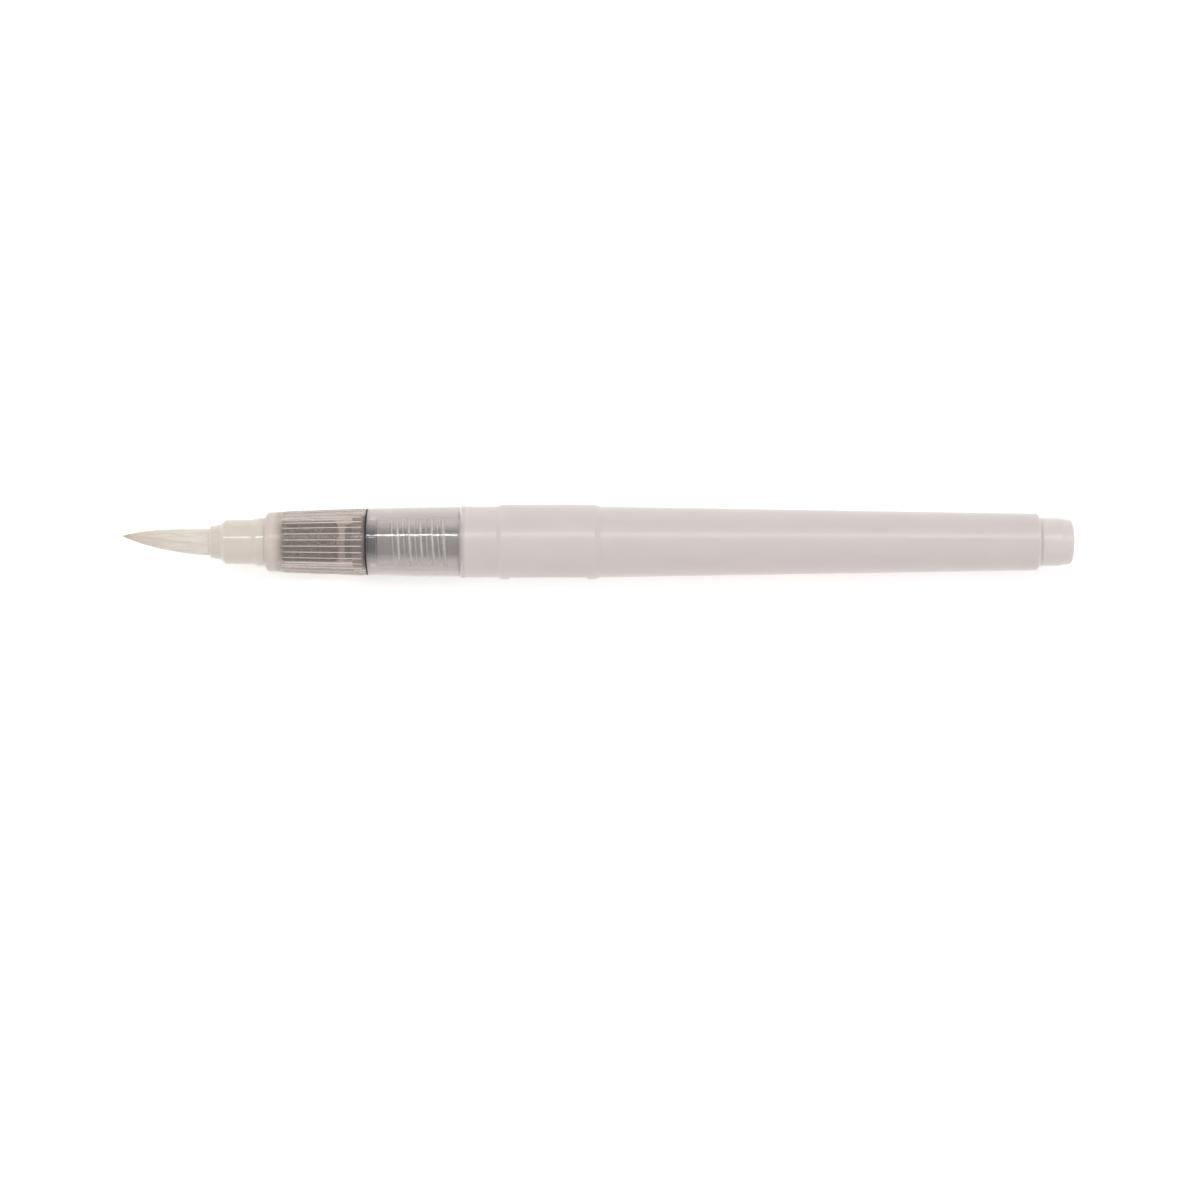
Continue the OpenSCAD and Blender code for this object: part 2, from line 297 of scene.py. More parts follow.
def add_tube(verts, faces, rings):
    """Adds a closed tube through rings of points to the lists of a mesh."""
    sides = len(rings[0])
    start = len(verts)
    for ring in rings:
        verts += ring
    last = len(verts) - sides
    for a in range(start, last, sides):
        b = a + sides
        for k in range(sides):
            n = (k + 1) % sides
            faces.append((a + k, b + k, b + n, a + n))
    faces.append(tuple(start + k for k in reversed(range(sides))))
    faces.append(tuple(last + k for k in range(sides)))


def even_angles(count):
    return [TURN * k / count for k in range(count)]


def smooth_step(x):
    x = min(1, max(0, x))
    return x * x * (3 - 2 * x)


def soft_min(a, b, blend):
    """About the smaller of two numbers, rounded off where they are close. It equals them where they meet."""
    return 0.5 * (a + b - math.hypot(a - b, blend)) + blend / 2


def weighted(obj):
    """Flat stretches keep flat shading up to their rounded edges."""
    obj.modifiers.new("weighted_normals", "WEIGHTED_NORMAL")
    return obj


def painted(obj, name, value):
    """Stores value(s, r, angle) at each of the mesh's points, for its material to read."""
    values = []
    for vertex in obj.data.vertices:
        y, z = vertex.co.y / MM, (vertex.co.z - AXIS_Z) / MM
        values.append(value((vertex.co.x - TIP_X) / MM, math.hypot(y, z), math.atan2(z, y)))
    obj.data.attributes.new(name, "FLOAT", "POINT").data.foreach_set("value", values)


def finished(obj, body, nodes, material):
    """Gives a piece its material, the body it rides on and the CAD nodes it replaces."""
    obj.data.materials.append(material)
    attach(obj, body)
    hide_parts(*nodes)


# ---------------------------------------------------------------- material tools
class Nodes:
    """Makes and links the nodes of one tree."""

    def __init__(self, tree):
        self.tree = tree

    def node(self, kind, inputs=None, **attributes):
        made = self.tree.nodes.new("ShaderNode" + kind)
        for key, value in attributes.items():
            setattr(made, key, value)
        for socket, value in (inputs or {}).items():
            if isinstance(value, bpy.types.NodeSocket):
                self.tree.links.new(value, made.inputs[socket])
            else:
                made.inputs[socket].default_value = value
        return made

    def math(self, operation, a, b):
        return self.node("Math", {0: a, 1: b}, operation=operation).outputs[0]


class Surface(Nodes):
    """A node material built round one Principled shader, whose sockets are set by name."""

    def __init__(self, name, **values):
        self.material = bpy.data.materials.new(name)
        self.material.use_nodes = True
        super().__init__(self.material.node_tree)
        self.shader = self.tree.nodes["Principled BSDF"]
        self.output = self.tree.nodes["Material Output"]
        for socket, value in values.items():
            self.shader.inputs[socket.replace("_", " ")].default_value = value
        self.coords = self.tree.nodes.new("ShaderNodeTexCoord").outputs["Object"]

    def set(self, socket, value):
        self.tree.links.new(value, self.shader.inputs[socket])

    def stretched(self, along, across):
        """Object coordinates scaled along and across the pen, per millimetre."""
        scale = (along / MM, across / MM, across / MM)
        return self.node("Mapping", {"Vector": self.coords, "Scale": scale}).outputs[0]

    def noise(self, vector, detail=3.0):
        inputs = {"Vector": vector, "Scale": 1.0, "Detail": detail}
        return self.node("TexNoise", inputs).outputs["Fac"]

    def ramp(self, value, stops):
        made = self.node("ValToRGB", {"Fac": value})
        elements = made.color_ramp.elements
        while len(elements) < len(stops):
            elements.new(0.5)
        for element, (at, colour) in zip(elements, stops):
            element.position = at
            element.color = (*colour, 1)
        return made.outputs["Color"]

    def between(self, value, low, high):
        inputs = {"Value": value, "To Min": low, "To Max": high}
        return self.node("MapRange", inputs).outputs["Result"]

    def along(self, start_s, end_s, low=0.0, high=1.0):
        """A value that runs from low to high between two stations of the pen."""
        place = self.node("SeparateXYZ", {"Vector": self.coords}).outputs["X"]
        inputs = {"Value": place, "To Min": low, "To Max": high,
                  "From Min": TIP_X + start_s * MM, "From Max": TIP_X + end_s * MM}
        return self.node("MapRange", inputs).outputs["Result"]

    def attribute(self, name):
        return self.node("Attribute", attribute_name=name, attribute_type="GEOMETRY").outputs["Fac"]

    def bump(self, height, depth):
        """A normal bent by a height of 0 to 1, depth being the greatest height in millimetres."""
        inputs = {"Height": height, "Distance": depth * MM}
        return self.node("Bump", inputs).outputs["Normal"]

    def tinted(self, value, low, high):
        """Colours the surface between two linear colours by a noise value."""
        self.set("Base Color", self.ramp(value, [(0.3, low), (0.7, high)]))

    def thinned(self, value, attribute, share):
        """The value, brought down to that share of itself where the painted attribute reaches 1."""
        narrowed = self.math("POWER", self.attribute(attribute), 2.0)
        return self.math("MULTIPLY", value, self.between(narrowed, 1.0, share))

    def lit_through(self, share):
        """Lets that share of a lamp's light shine straight through the surface."""
        shadow = self.node("LightPath").outputs["Is Shadow Ray"]
        clear = self.node("BsdfTransparent", {"Color": (share, share, share, 1)}).outputs[0]
        mix = self.node("MixShader", {0: shadow, 1: self.shader.outputs[0], 2: clear}).outputs[0]
        self.tree.links.new(mix, self.output.inputs["Surface"])


def linear(*srgb):
    """A colour given as 0 to 255 sRGB numbers, as linear numbers."""
    return tuple(((c / 255 + 0.055) / 1.055) ** 2.4 for c in srgb)


MILKY_GLOW = {"Subsurface_Radius": (1.0, 0.85, 0.75), "Subsurface_Scale": 1.2 * MM}


def milky_plastic(name, low, high, gloss):
    s = Surface(name, IOR=1.5, Subsurface_Weight=0.5, **MILKY_GLOW)
    s.tinted(s.noise(s.stretched(0.25, 0.4)), linear(*low), linear(*high))
    s.set("Roughness", s.between(s.noise(s.stretched(0.6, 5), detail=4), *gloss))
    s.set("Normal", s.bump(s.noise(s.stretched(1, 2), detail=2), 0.0015))
    return s.material


def frosted_plastic():
    """See-through behind the nozzle's spigot, with milkier ribs whose white lines are partly a painted
    highlight. The coat gives the gloss.
    """
    s = Surface("translucent_plastic", IOR=1.15, Coat_Weight=0.3, Coat_Roughness=0.25)
    s.tinted(s.noise(s.stretched(0.3, 0.5)), linear(206, 196, 190), linear(211, 201, 195))
    clear = s.along(FILTER_S - 1.4, FILTER_S + 0.6, 0.35, 0.9)
    # Partly painted highlight: the ribs let less through, so they show as white lines.
    s.set("Transmission Weight", s.thinned(clear, "rib", 0.25))
    s.set("Roughness", s.between(s.noise(s.stretched(0.5, 8), detail=4), 0.2, 0.26))
    s.set("Normal", s.bump(s.noise(s.stretched(0.6, 1.5), detail=2), 0.0006))
    s.lit_through(0.6)
    return s.material


def barrel_plastic():
    """Milky, with a thin neck that shows what is inside it. Its thread crests are milkier, partly as painted
    highlight lines.
    """
    s = Surface("barrel_plastic", IOR=1.5, Subsurface_Weight=0.6, **MILKY_GLOW)
    # Partly painted highlight: the thread crests let less through, so they show as white lines.
    clear = s.thinned(s.along(BARREL_S, BARREL_S + 1.2, 0.72, 0), "ridge", 0.2)
    s.set("Alpha", s.math("SUBTRACT", 1.0, clear))
    s.tinted(s.noise(s.stretched(0.12, 0.35)), linear(187, 179, 177), linear(190, 182, 180))
    satin = s.between(s.noise(s.stretched(0.3, 3), detail=4), 0.29, 0.33)
    s.set("Roughness", s.math("MULTIPLY", satin, s.along(BARREL_S, BARREL_S + 0.5, 0.35, 1)))
    s.set("Normal", s.bump(s.noise(s.stretched(0.5, 1.2), detail=2), 0.002))
    s.lit_through(0.5)
    return s.material


def clear_plastic():
    """Clear where it faces the eye and hazier towards its edges, where a painted shade darkens its colour.
    Its thread crests let less through, partly as painted highlight lines. The coat gives the gloss.
    """
    s = Surface("clear_plastic", IOR=1.15, Coat_Weight=1.0, Coat_Roughness=0.04)
    facing = s.node("LayerWeight").outputs["Facing"]
    zone = {"Value": facing, "From Min": 0.06, "From Max": 0.45, "To Min": 0.98, "To Max": 0.4}
    # Partly painted highlight: the thread crests let less through, so they show as light lines.
    s.set("Transmission Weight", s.thinned(s.node("MapRange", zone).outputs["Result"], "ridge", 0.3))
    # Painted shade: the colour darkens towards the edges as the surface turns away from the eye.
    painted_edge_shade = s.math("ADD", facing, s.between(s.noise(s.stretched(0.2, 0.3)), -0.05, 0.05))
    s.set("Base Color", s.ramp(painted_edge_shade, [(0.08, linear(232, 229, 228)), (0.4, linear(194, 185, 182))]))
    s.set("Roughness", s.between(s.noise(s.stretched(0.8, 12), detail=5), 0.0, 0.06))
    s.set("Normal", s.bump(s.noise(s.stretched(0.3, 0.8), detail=1), 0.001))
    s.lit_through(0.8)
    return s.material


def dark_plastic():
    """Near black at the flange, slate blue along the stem."""
    s = Surface("dark_plastic", IOR=1.5, Specular_IOR_Level=0.35)
    mottle = s.between(s.noise(s.stretched(0.8, 1.2)), -0.06, 0.06)
    tone = s.math("ADD", s.along(NECK_S, NECK_S + 3.4), mottle)
    s.set("Base Color", s.ramp(tone, [(0.0, (0.014, 0.015, 0.018)), (1.0, (0.05, 0.08, 0.125))]))
    s.set("Roughness", s.between(s.noise(s.stretched(2, 7), detail=4), 0.28, 0.45))
    s.set("Normal", s.bump(s.noise(s.stretched(2, 4), detail=3), 0.003))
    return s.material


def porous_filter():
    s = Surface("porous_filter", IOR=1.45)
    cells = s.node("TexVoronoi", {"Vector": s.stretched(3.2, 3.2), "Scale": 1.0}, feature="F1")
    tone = s.node("SeparateColor", {"Color": cells.outputs["Color"]}).outputs[0]
    stops = [(0.0, (0.012, 0.011, 0.011)), (0.55, (0.05, 0.046, 0.044)), (0.95, (0.2, 0.19, 0.185))]
    s.set("Base Color", s.ramp(tone, stops))
    s.set("Roughness", s.between(tone, 0.55, 0.85))
    s.set("Normal", s.bump(cells.outputs["Distance"], -0.12))
    return s.material


def wick_fibre():
    s = Surface("wick_fibre", IOR=1.45)
    fibres = s.noise(s.stretched(0.4, 14), detail=5)
    s.tinted(fibres, (0.55, 0.53, 0.48), (0.85, 0.83, 0.79))
    s.set("Roughness", s.between(fibres, 0.6, 0.85))
    s.set("Normal", s.bump(fibres, 0.05))
    return s.material


def black_rubber():
    s = Surface("black_rubber", IOR=1.5, Specular_IOR_Level=0.3)
    grain = s.noise(s.stretched(9, 9), detail=5)
    s.tinted(grain, (0.008, 0.008, 0.009), (0.018, 0.018, 0.02))
    s.set("Roughness", s.between(grain, 0.5, 0.75))
    s.set("Normal", s.bump(grain, 0.02))
    return s.material


def bristle():
    """Cream nylon, warmer towards the tip, with a slightly different shade on each strand."""
    s = Surface("bristle", IOR=1.5, Subsurface_Weight=0.4, Subsurface_Radius=(1.0, 0.8, 0.6),
                Subsurface_Scale=0.4 * MM)
    creams = [(0.0, linear(226, 210, 190)), (0.45, linear(232, 219, 204)), (1.0, linear(232, 222, 211))]
    tone = s.ramp(s.along(0, MOUTH_S), creams)
    shade = s.ramp(s.attribute("strand"), [(0.0, (0.965, 0.96, 0.95)), (1.0, (1.0, 1.0, 1.0))])
    mix = s.node("Mix", data_type="RGBA", blend_type="MULTIPLY")
    mix.inputs["Factor"].default_value = 1.0
    colour_a, colour_b = [i for i in mix.inputs if i.type == "RGBA"]
    s.tree.links.new(tone, colour_a)
    s.tree.links.new(shade, colour_b)
    s.set("Base Color", [o for o in mix.outputs if o.type == "RGBA"][0])
    s.set("Roughness", s.between(s.noise(s.stretched(1, 20)), 0.3, 0.5))
    return s.material


def floor_paper():
    s = Surface("floor_paper", IOR=1.4, Emission_Color=(1, 1, 1, 1), Emission_Strength=0.2)
    grain = s.noise(s.stretched(0.05, 0.05), detail=5)
    s.tinted(grain, (0.93, 0.93, 0.93), (0.95, 0.95, 0.95))
    s.set("Roughness", s.between(grain, 0.75, 0.9))
    return s.material


# ---------------------------------------------------------------- pieces
def tuft_radius(s):
    return TUFT_FULL_R * (1 - math.exp(-s / TUFT_SWELL))


def tuft_offset(s):
    return TUFT_BEND * (max(0, PIVOT_S - s) / PIVOT_S) ** BEND_POWER


BRISTLES = 1000
BRISTLE_R = 0.066
BRISTLE_SIDES = 5
BRISTLE_STEPS = 13
BRISTLE_END_S = ROOT_END_S - 0.3
TIP_LEN = 7                              # the bristles end, and taper, over this length behind the tip
TIP_THICKNESS = 0.22                     # a bristle's thickness at its tip, as a share of the full one
STRAYS = (0.02, 0.03, 0.05, 0.08)        # how far bristles may wander off their line
GOLDEN_TURN = TURN * 0.6180339887
TUFT_SEED = 11
CORE_SHARE = 0.965
CORE_SIDES = 32
CORE_STEPS = 24
CORE_S = 0.6
CORE_TONE = 0.35


def tuft_spread(s):
    """The radius that the bristles fill at a station, kept within the nozzle's bore."""
    return min(tuft_radius(s), NOZZLE_BORE_R - 0.08)


def bristle_point(s, share, angle, stray, phase):
    """A point on one bristle, share being its place from the tuft's middle to its outside."""
    free = smooth_step((MOUTH_S - s) / MOUTH_S)
    r = tuft_spread(s) * share
    swing = angle + 0.05 * math.sin(s * 0.5 + phase)
    y = r * math.cos(swing) + tuft_offset(s) + stray * free * math.sin(s * 0.9 + phase)
    z = r * math.sin(swing) + stray * free * math.cos(s * 0.7 + phase)
    return Vector((TIP_X + s * MM, y * MM, AXIS_Z + z * MM))


def core_rings():
    """The rings of a plain core, which closes the gaps that the outer bristles leave."""
    rings = []
    for step in range(CORE_STEPS + 1):
        s = CORE_S + (BRISTLE_END_S - CORE_S) * (step / CORE_STEPS) ** 1.3
        r = tuft_spread(s) * CORE_SHARE
        rings.append([(TIP_X + s * MM, (r * math.cos(a) + tuft_offset(s)) * MM, AXIS_Z + r * math.sin(a) * MM)
                      for a in even_angles(CORE_SIDES)])
    return rings


def bristle_rings(tip_s, *line):
    """The rings of one bristle from its tip at a station to its end in the nozzle."""
    rings = []
    for step in range(BRISTLE_STEPS):
        s = tip_s + (BRISTLE_END_S - tip_s) * (step / (BRISTLE_STEPS - 1)) ** 1.35
        centre = bristle_point(s, *line)
        way = (bristle_point(s + 0.05, *line) - centre).normalized()
        side = way.cross(Vector((0, 0, 1))).normalized()
        up = side.cross(way)
        full = smooth_step((s - tip_s) / TIP_LEN)
        thick = BRISTLE_R * (TIP_THICKNESS + (1 - TIP_THICKNESS) * full) * MM
        rings.append([centre + side * thick * math.cos(a) + up * thick * math.sin(a)
                      for a in even_angles(BRISTLE_SIDES)])
    return rings


def make_tuft(material):
    rng = random.Random(TUFT_SEED)
    verts, faces = [], []
    add_tube(verts, faces, core_rings())
    strand = [CORE_TONE] * len(verts)
    for number in range(BRISTLES):
        share = math.sqrt(rng.uniform(0.7, 1.0))
        tone = rng.random()
        stray = rng.choice(STRAYS) * rng.random()
        phase = rng.uniform(0, TURN)
        tip_s = 0.05 + TIP_LEN * rng.random() ** 2.2
        add_tube(verts, faces, bristle_rings(tip_s, share, number * GOLDEN_TURN, stray, phase))
        strand += [tone] * (len(verts) - len(strand))
    tuft = new_object("bristle_tuft", verts, faces)
    tuft.data.attributes.new("strand", "FLOAT", "POINT").data.foreach_set("value", strand)
    tuft.data.materials.append(material)
    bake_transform(tuft)
    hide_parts("brush_tuft", "tuft_root")


def make_collar(material):
    outline = softened([
        (COLLAR_S, TUFT_COLLAR_BORE_R, 0.1),
        (COLLAR_S, TUFT_COLLAR_R, 0.25),
        (COLLAR_END_S, TUFT_COLLAR_R, 0.25),
        (COLLAR_END_S, TUFT_COLLAR_BORE_R, 0.1)])

    def lumpy(s, r, a):
        if r < 2:
            return r
        return r + 0.03 * noise.noise(Vector((s, 3 * math.cos(a), 3 * math.sin(a))))
    collar = turned("fused_collar", outline, even_angles(96), lumpy)
    finished(weighted(collar), "head", ["tuft_collar"], material)


def make_nozzle(material):
    base_s = SHELL_S - SEAM
    outline = softened([
        (MOUTH_S, NOZZLE_BORE_R, 0.08),
        (MOUTH_S, LIP_FRONT_R, 0.28),
        (LIP_END_S, LIP_REAR_R, 0.12),
        (STEP_S, NOZZLE_STEP_R, 0.14),
        (FLARE_S, FLARE_R, 2),
        (FLARE_END_S, NOZZLE_BASE_R, 2),
        (base_s, NOZZLE_BASE_R, 0.05),
        (base_s, SPIGOT_R, 0.05),
        (SPIGOT_END_S, SPIGOT_R, 0.15),
        (SPIGOT_END_S, ROOT_CHAMBER_R, 0.1),
        (ROOT_END_S, ROOT_CHAMBER_R, 0.05),
        (ROOT_END_S, NOZZLE_BORE_R, 0.05)])
    nozzle = turned("nozzle_tip", outline, even_angles(192))
    finished(weighted(nozzle), "head", ["nozzle"], material)


def rib_angles():
    """Angles with close steps across each rib and wide ones between ribs."""
    half = RIB_W / 2 / SHELL_REAR_R
    steps = [share * half for share in (-1, -0.6, -0.25, 0, 0.25, 0.6, 1)]
    steps += [share * RIB_PITCH for share in (0.35, 0.5, 0.65)]
    centres = [(k + RIB_TURN) * RIB_PITCH for k in range(RIB_COUNT)]
    return [centre + step for centre in centres for step in steps]


def rib_height(s, r, angle):
    """How far the shell's outside stands out on a rib, from 0 to 1."""
    if r <= SHELL_FRONT_R:
        return 0
    turns = angle / RIB_PITCH - RIB_TURN
    across = abs(turns - round(turns)) * RIB_PITCH * SHELL_REAR_R / (RIB_W / 2)
    ends = min(smooth_step((s - RIB_S) / 1.2), smooth_step((RIB_END_S - s) / 0.4))
    return math.sqrt(max(0, 1 - across * across)) * ends


def rib_relief(s, r, angle):
    return r + RIB_H * rib_height(s, r, angle)


def make_shell(material):
    counterbore_end_s = SLEEVE_FRONT_S - FIT
    chamber_s = SPIGOT_END_S + FIT
    outline = softened([
        (SHELL_S, SPIGOT_R + FIT, 0.08),
        (SHELL_S, SHELL_FRONT_R, 0.8),
        (GASKET_S, SHELL_REAR_R, 0.05),
        (GASKET_S, COUNTERBORE_R, 0.05),
        (counterbore_end_s, COUNTERBORE_R, 0.05),
        (counterbore_end_s, CHAMBER_R, 0.05),
        (chamber_s, CHAMBER_R, 0.3),
        (chamber_s, SPIGOT_R + FIT, 0.05)])
    outline = refined(outline, 0.2, RIB_S, RIB_END_S, lambda a, b: b[0] - a[0] > 5)
    shell = turned("grip_shell", outline, rib_angles(), rib_relief)
    painted(shell, "rib", rib_height)
    finished(shell, "head", ["front_shell"], material)


def make_filter(material):
    edge = [(FILTER_S, WICK_HOLE_R, 0.1), (FILTER_S, FILTER_R, 0.35),
            (FILTER_END_S, FILTER_R, 0.35), (FILTER_END_S, WICK_HOLE_R, 0.1)]
    outline = finely(softened(edge), 0.13, FILTER_S, FILTER_END_S)

    def granules(s, r, a):
        if r < 1.2:
            return r
        where = Vector((s, r * math.cos(a), r * math.sin(a))) * 2.6
        cell = noise.voronoi(where)[0][0]
        return r - 0.02 - 0.14 * min(1, cell)
    body = turned("porous_insert", outline, even_angles(176), granules)
    finished(body, "head", ["flow_filter"], material)


def make_wick(material):
    outline = softened([(WICK_S, 0), (WICK_S, WICK_R, 0.15), (WICK_END_S, WICK_R, 0.15), (WICK_END_S, 0)])
    outline = finely(outline, 0.8, WICK_S, WICK_END_S)

    def fluted(s, r, a):
        return r * (1 - 0.035 * (0.5 + 0.5 * math.cos(22 * a + 0.3 * math.sin(s))))
    wick = turned("feed_wick_rod", outline, even_angles(88), fluted)
    finished(wick, "head", ["feed_wick"], material)


def make_plug(material):
    hole_end_s = WICK_END_S + FIT
    outline = softened([
        (PLUG_S, WICK_HOLE_R, 0.08),
        (PLUG_S, BOSS_R, 0.2),
        (PLUG_S + 0.8, BOSS_R, 0.1),
        (FLANGE_S, FLANGE_R, 0.2),
        (FLANGE_END_S, FLANGE_R, 0.1),
        (FLANGE_END_S, PLUG_COLLAR_R, 0.08),
        (PLUG_COLLAR_END_S, PLUG_COLLAR_R, 0.15),
        (PLUG_COLLAR_END_S, STEM_R, 0.1),
        (STEM_END_S, STEM_R, 0.3),
        (STEM_END_S, CHANNEL_R, 0.08),
        (hole_end_s, CHANNEL_R, 0.03),
        (hole_end_s, WICK_HOLE_R, 0.05)])
    outline = finely(outline, 0.6, FLANGE_END_S, STEM_END_S)

    def grooved(s, r, a):
        if s < FLANGE_END_S + 0.25 or r < 2:
            return r
        off = abs((a + math.pi) % TURN - math.pi) * r
        return r - (r - GROOVE_FLOOR_R) * (1 - smooth_step((off - 0.2) / 0.08))
    across_groove = [TURN * k / 1280 for k in range(1, 16)]
    plug = turned("feed_plug_stem", outline, sorted(even_angles(160) + across_groove), grooved)
    finished(plug, "head", ["feed_plug"], material)


def make_gasket(material):
    outline = softened([
        (RING_LIP_S, RING_IN_R, 0.1), (RING_LIP_S, SLEEVE_SPIGOT_R, 0.1),
        (GASKET_S, SLEEVE_SPIGOT_R, 0.03), (GASKET_S, SHELL_REAR_R, 0.1),
        (SLEEVE_S, SHELL_REAR_R, 0.1), (SLEEVE_S, RING_IN_R, 0.03)])
    ring = turned("seal_ring", outline, even_angles(192))
    finished(weighted(ring), "carrier", ["joint_gasket"], material)


def ridge(s, angle, start_s):
    """How far the helical ridge that starts at a station rises at a point, from 0 to 1."""
    turn = ((angle + THREAD_PHASE) % TURN) / TURN
    lap = round((s - start_s) / THREAD_PITCH - turn)
    along = lap + turn
    rise = smooth_step((along + 0.1) / 0.2) * smooth_step((THREAD_TURNS + 0.1 - along) / 0.2)
    off = abs(s - start_s - along * THREAD_PITCH)
    return rise * (1 - smooth_step((off - RIDGE_TOP) / (RIDGE_FOOT - RIDGE_TOP)))


def threaded(outline, start_s, r):
    """The outline with points close enough along a thread at a radius."""
    end_s = start_s + THREAD_TURNS * THREAD_PITCH
    return refined(outline, 0.07, start_s - THREAD_MARGIN, end_s + THREAD_MARGIN, long_and_at(r))


def make_sleeve(material):
    groove_s = RING_LIP_S - FIT
    groove_r = RING_IN_R - FIT
    outline = softened([
        (SLEEVE_FRONT_S, FLANGE_R + FIT, 0.08),
        (SLEEVE_FRONT_S, SLEEVE_SPIGOT_R, 0.15),
        (groove_s, SLEEVE_SPIGOT_R, 0.03),
        (groove_s, groove_r, 0.03),
        (SLEEVE_S, groove_r, 0.03),
        (SLEEVE_S, SLEEVE_FRONT_R, 0.08),
        ((SLEEVE_S + BARREL_S) / 2, SLEEVE_MID_R, 20),
        (SLEEVE_END_S, SLEEVE_REAR_R, 0.06),
        (SLEEVE_END_S, SLEEVE_BORE_R, 0.12),
        (FLANGE_END_S, SLEEVE_BORE_R, 0.15),
        (FLANGE_END_S, FLANGE_R + FIT, 0.08)])
    outline = threaded(outline, INNER_THREAD_S, SLEEVE_BORE_R)
    depth = SLEEVE_BORE_R - INNER_CREST_R

    def thread(s, r, a):
        if abs(r - SLEEVE_BORE_R) > 0.01:
            return r
        return r - depth * ridge(s, a, INNER_THREAD_S)

    def on_thread(s, r, a):
        inside = FLANGE_END_S + 0.3 < s and INNER_CREST_R - 0.01 < r < SLEEVE_BORE_R
        return (SLEEVE_BORE_R - r) / depth if inside else 0
    sleeve = turned("clear_sleeve", outline, even_angles(144), thread)
    painted(sleeve, "ridge", on_thread)
    finished(sleeve, "head", ["coupling_sleeve"], material)


def flattened(s, r, a):
    """The barrel's radius cut back to the narrow flat underneath and to the flat on the band's side."""
    if r > FOOT_D and math.sin(a) < 0:
        r = min(r, FOOT_D / -math.sin(a))
    facing = -math.cos(a)
    if facing <= 0.7 or r <= BARREL_FRONT_R or not BAND_S - FRONT_RAMP < s < TAPER_S:
        return r
    inside = min(s - BAND_S - FLAT_MARGIN, BAND_END_S - FLAT_MARGIN - s)
    ridge_share = 1 - smooth_step((inside + FLAT_RAMP) / FLAT_RAMP)
    distance = FLAT_D + (BAND_R - FLAT_D + 0.02) * ridge_share
    return min(r, soft_min(r, distance / facing, FLAT_BLEND))


def make_barrel(material):
    bore_r = TAIL_INSERT_R + FIT
    bore_share = (TAIL_BORE_S - TAPER_S) / (TAPER_END_S - TAPER_S)
    outside_at_bore = TAPER_R + (BARREL_REAR_R - TAPER_R) * bore_share
    outline = softened([
        (NECK_S, NECK_BORE_R, 0.08),
        (NECK_S, NECK_R, 0.2),
        (BARREL_S, NECK_R, 0.15),
        (BARREL_S, BARREL_FRONT_R, 0.1),
        (BAND_S - FRONT_RAMP, BARREL_FRONT_R, 0.25),
        (BAND_S, BAND_R, 0.3),
        (BAND_END_S, BAND_R, 0.3),
        (TAPER_S, TAPER_R, 0.4),
        (TAPER_END_S, BARREL_REAR_R, 0.08),
        (BARREL_END_S, TAIL_R + 0.02, 0.01),
        (BARREL_END_S, bore_r, 0.05),
        (TAIL_BORE_S, bore_r, 0.05),
        (TAIL_BORE_S, outside_at_bore - WALL, 0.1),
        (TAPER_S, TAPER_R - WALL, 2),
        (BARREL_S + 1.7, BARREL_FRONT_R - WALL, 0.6),
        (BARREL_S + 1, NECK_BORE_R, 0.12)])
    outline = threaded(outline, THREAD_S, NECK_R)
    outline = refined(outline, 0.15, BAND_S, BAND_END_S, long_and_at(BAND_R))
    neck_end_s = BARREL_S - 0.3
    depth = THREAD_CREST_R - NECK_R

    def shaped(s, r, a):
        if abs(r - NECK_R) < 0.01 and s < neck_end_s:
            return r + depth * ridge(s, a, THREAD_S)
        return flattened(s, r, a)

    def on_thread(s, r, a):
        return (r - NECK_R) / depth if s < neck_end_s and r > NECK_R else 0
    barrel = turned("water_barrel", outline, even_angles(240), shaped)
    painted(barrel, "ridge", on_thread)
    finished(barrel, "barrel", ["reservoir"], material)


def make_tail(material):
    seam_s = BARREL_END_S + SEAM
    outline = softened([
        (PEN_END_S, 0),
        (PEN_END_S - 0.06, 2.6, 2),
        (PEN_END_S - 0.12, TAIL_SHOULDER_R - 0.05, 1.2),
        (TAIL_SHOULDER_S, TAIL_SHOULDER_R, 0.3),
        (TAIL_STRAIGHT_END_S, TAIL_R, 0.3),
        (seam_s, TAIL_R, 0.02),
        (seam_s, TAIL_INSERT_R, 0.02),
        (TAIL_FRONT_S, TAIL_INSERT_R, 0.2),
        (TAIL_FRONT_S, TAIL_HOLLOW_R, 0.15),
        (TAIL_FLOOR_S, TAIL_HOLLOW_R, 0.5),
        (TAIL_FLOOR_S, 0)])
    tail = turned("tail_stopper", outline, even_angles(192))
    finished(weighted(tail), "barrel", ["tail_plug"], material)


# ---------------------------------------------------------------- the stage
FLOOR_R = 3.0
FLOOR_SIDES = 64


def make_floor():
    rim = [(FLOOR_R * math.cos(a), FLOOR_R * math.sin(a), 0) for a in even_angles(FLOOR_SIDES)]
    faces = [(0, k + 1, (k + 1) % FLOOR_SIDES + 1) for k in range(FLOOR_SIDES)]
    floor = new_object("floor", [(0, 0, 0)] + rim, faces)
    floor.data.materials.append(floor_paper())


STRIP_PLACE = Vector((0.0, 0.36, 0.88))
STRIP_SIZE = (1.1, 0.06)
STRIP_POWER = 3.4
WORLD_COLOUR = (1.0, 0.99, 0.98, 1)
WORLD_SLOPE = (0, -0.05, 0.4)        # how the world's light changes along each axis
WORLD_LEVEL = 0.76


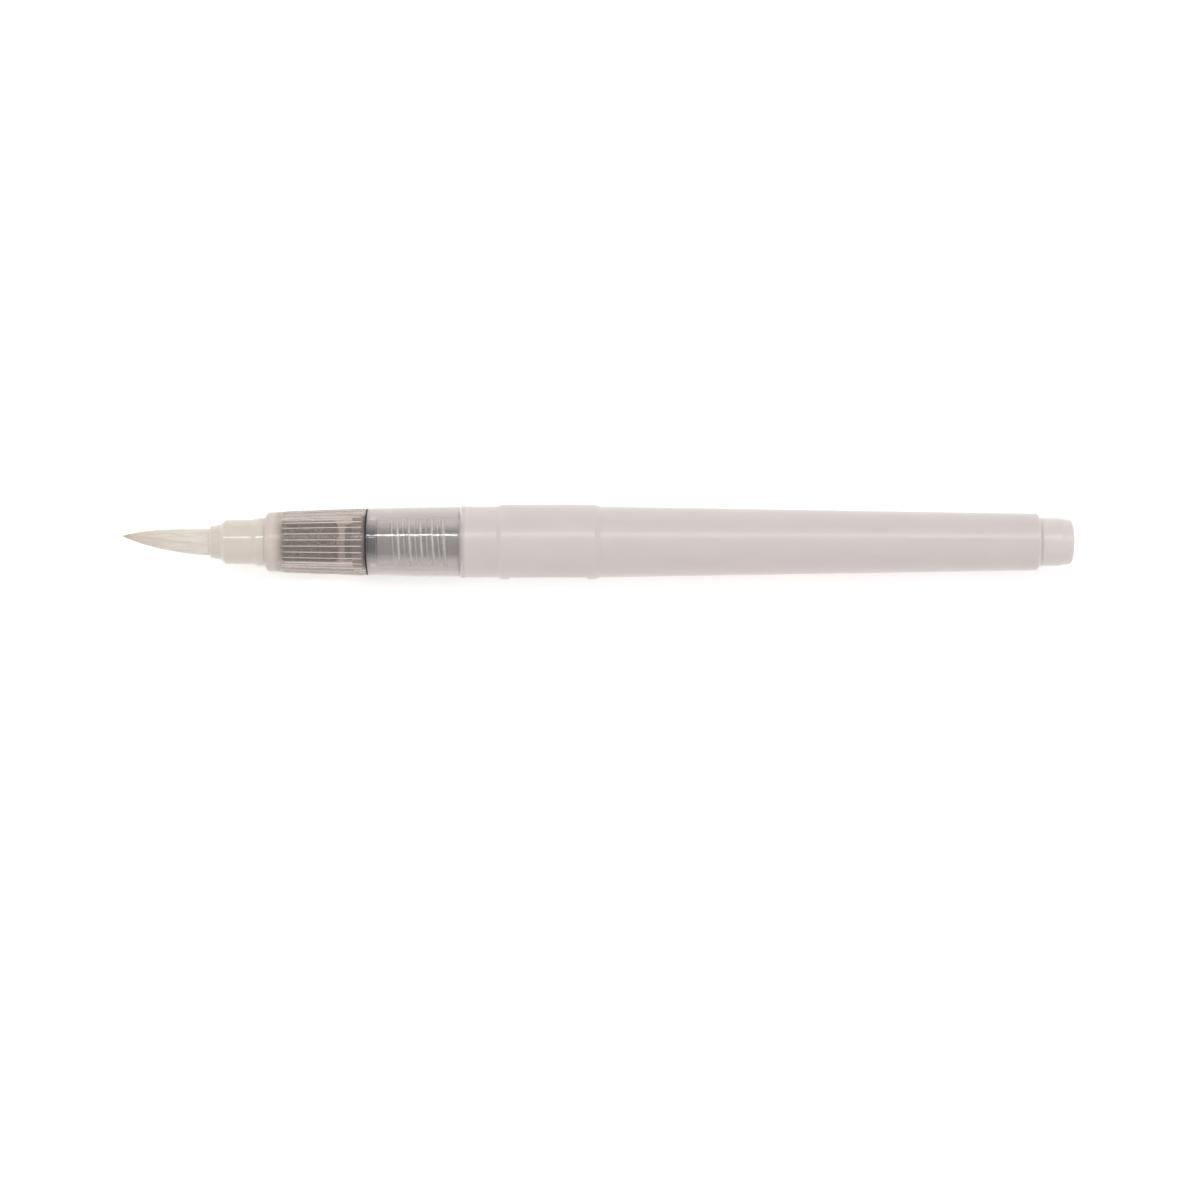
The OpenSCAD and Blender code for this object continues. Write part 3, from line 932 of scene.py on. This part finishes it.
def make_strip_light():
    """A long soft lamp above and behind, which draws one highlight along the pen."""
    data = bpy.data.lights.new("strip", "AREA")
    data.shape = "RECTANGLE"
    data.size, data.size_y = STRIP_SIZE
    data.energy = STRIP_POWER
    lamp = bpy.data.objects.new("strip", data)
    lamp.location = STRIP_PLACE
    aim = Vector((0, 0, 0)) - STRIP_PLACE
    lamp.rotation_euler = aim.to_track_quat("-Z", "Y").to_euler()
    bpy.context.scene.collection.objects.link(lamp)


def make_world():
    """Soft light from all round, brighter from above. To the camera it is plain white."""
    world = bpy.data.worlds.new("studio")
    world.use_nodes = True
    n = Nodes(world.node_tree)
    background = n.tree.nodes["Background"]
    background.inputs["Color"].default_value = WORLD_COLOUR
    way = n.node("TexCoord").outputs["Generated"]
    slope = n.node("VectorMath", {0: way, 1: WORLD_SLOPE}, operation="DOT_PRODUCT").outputs["Value"]
    seen = n.node("LightPath").outputs["Is Camera Ray"]
    strength = n.math("ADD", n.math("ADD", slope, WORLD_LEVEL), seen)
    n.tree.links.new(strength, background.inputs["Strength"])
    bpy.context.scene.world = world


CAMERA_DISTANCE = 0.455
CAMERA_LENS = 81
CAMERA_SENSOR = 36
CAMERA_X = 0.0005
CAMERA_Y = -0.00978


def make_camera():
    data = bpy.data.cameras.new("camera")
    data.lens = CAMERA_LENS
    data.sensor_width = CAMERA_SENSOR
    data.clip_start = 0.01
    camera = bpy.data.objects.new("camera", data)
    camera.location = (CAMERA_X, CAMERA_Y, AXIS_Z + CAMERA_DISTANCE)
    bpy.context.scene.collection.objects.link(camera)
    bpy.context.scene.camera = camera


def main():
    bristle_material = bristle()
    make_tuft(bristle_material)
    make_collar(bristle_material)
    make_nozzle(milky_plastic("milky_nozzle", (190, 182, 173), (194, 186, 177), (0.12, 0.2)))
    make_shell(frosted_plastic())
    make_filter(porous_filter())
    make_wick(wick_fibre())
    make_plug(dark_plastic())
    make_gasket(black_rubber())
    make_sleeve(clear_plastic())
    make_barrel(barrel_plastic())
    make_tail(milky_plastic("milky_tail", (191, 184, 181), (195, 188, 185), (0.29, 0.33)))
    make_floor()
    make_strip_light()
    make_world()
    make_camera()
    bpy.context.scene.view_settings.view_transform = "Standard"


main()
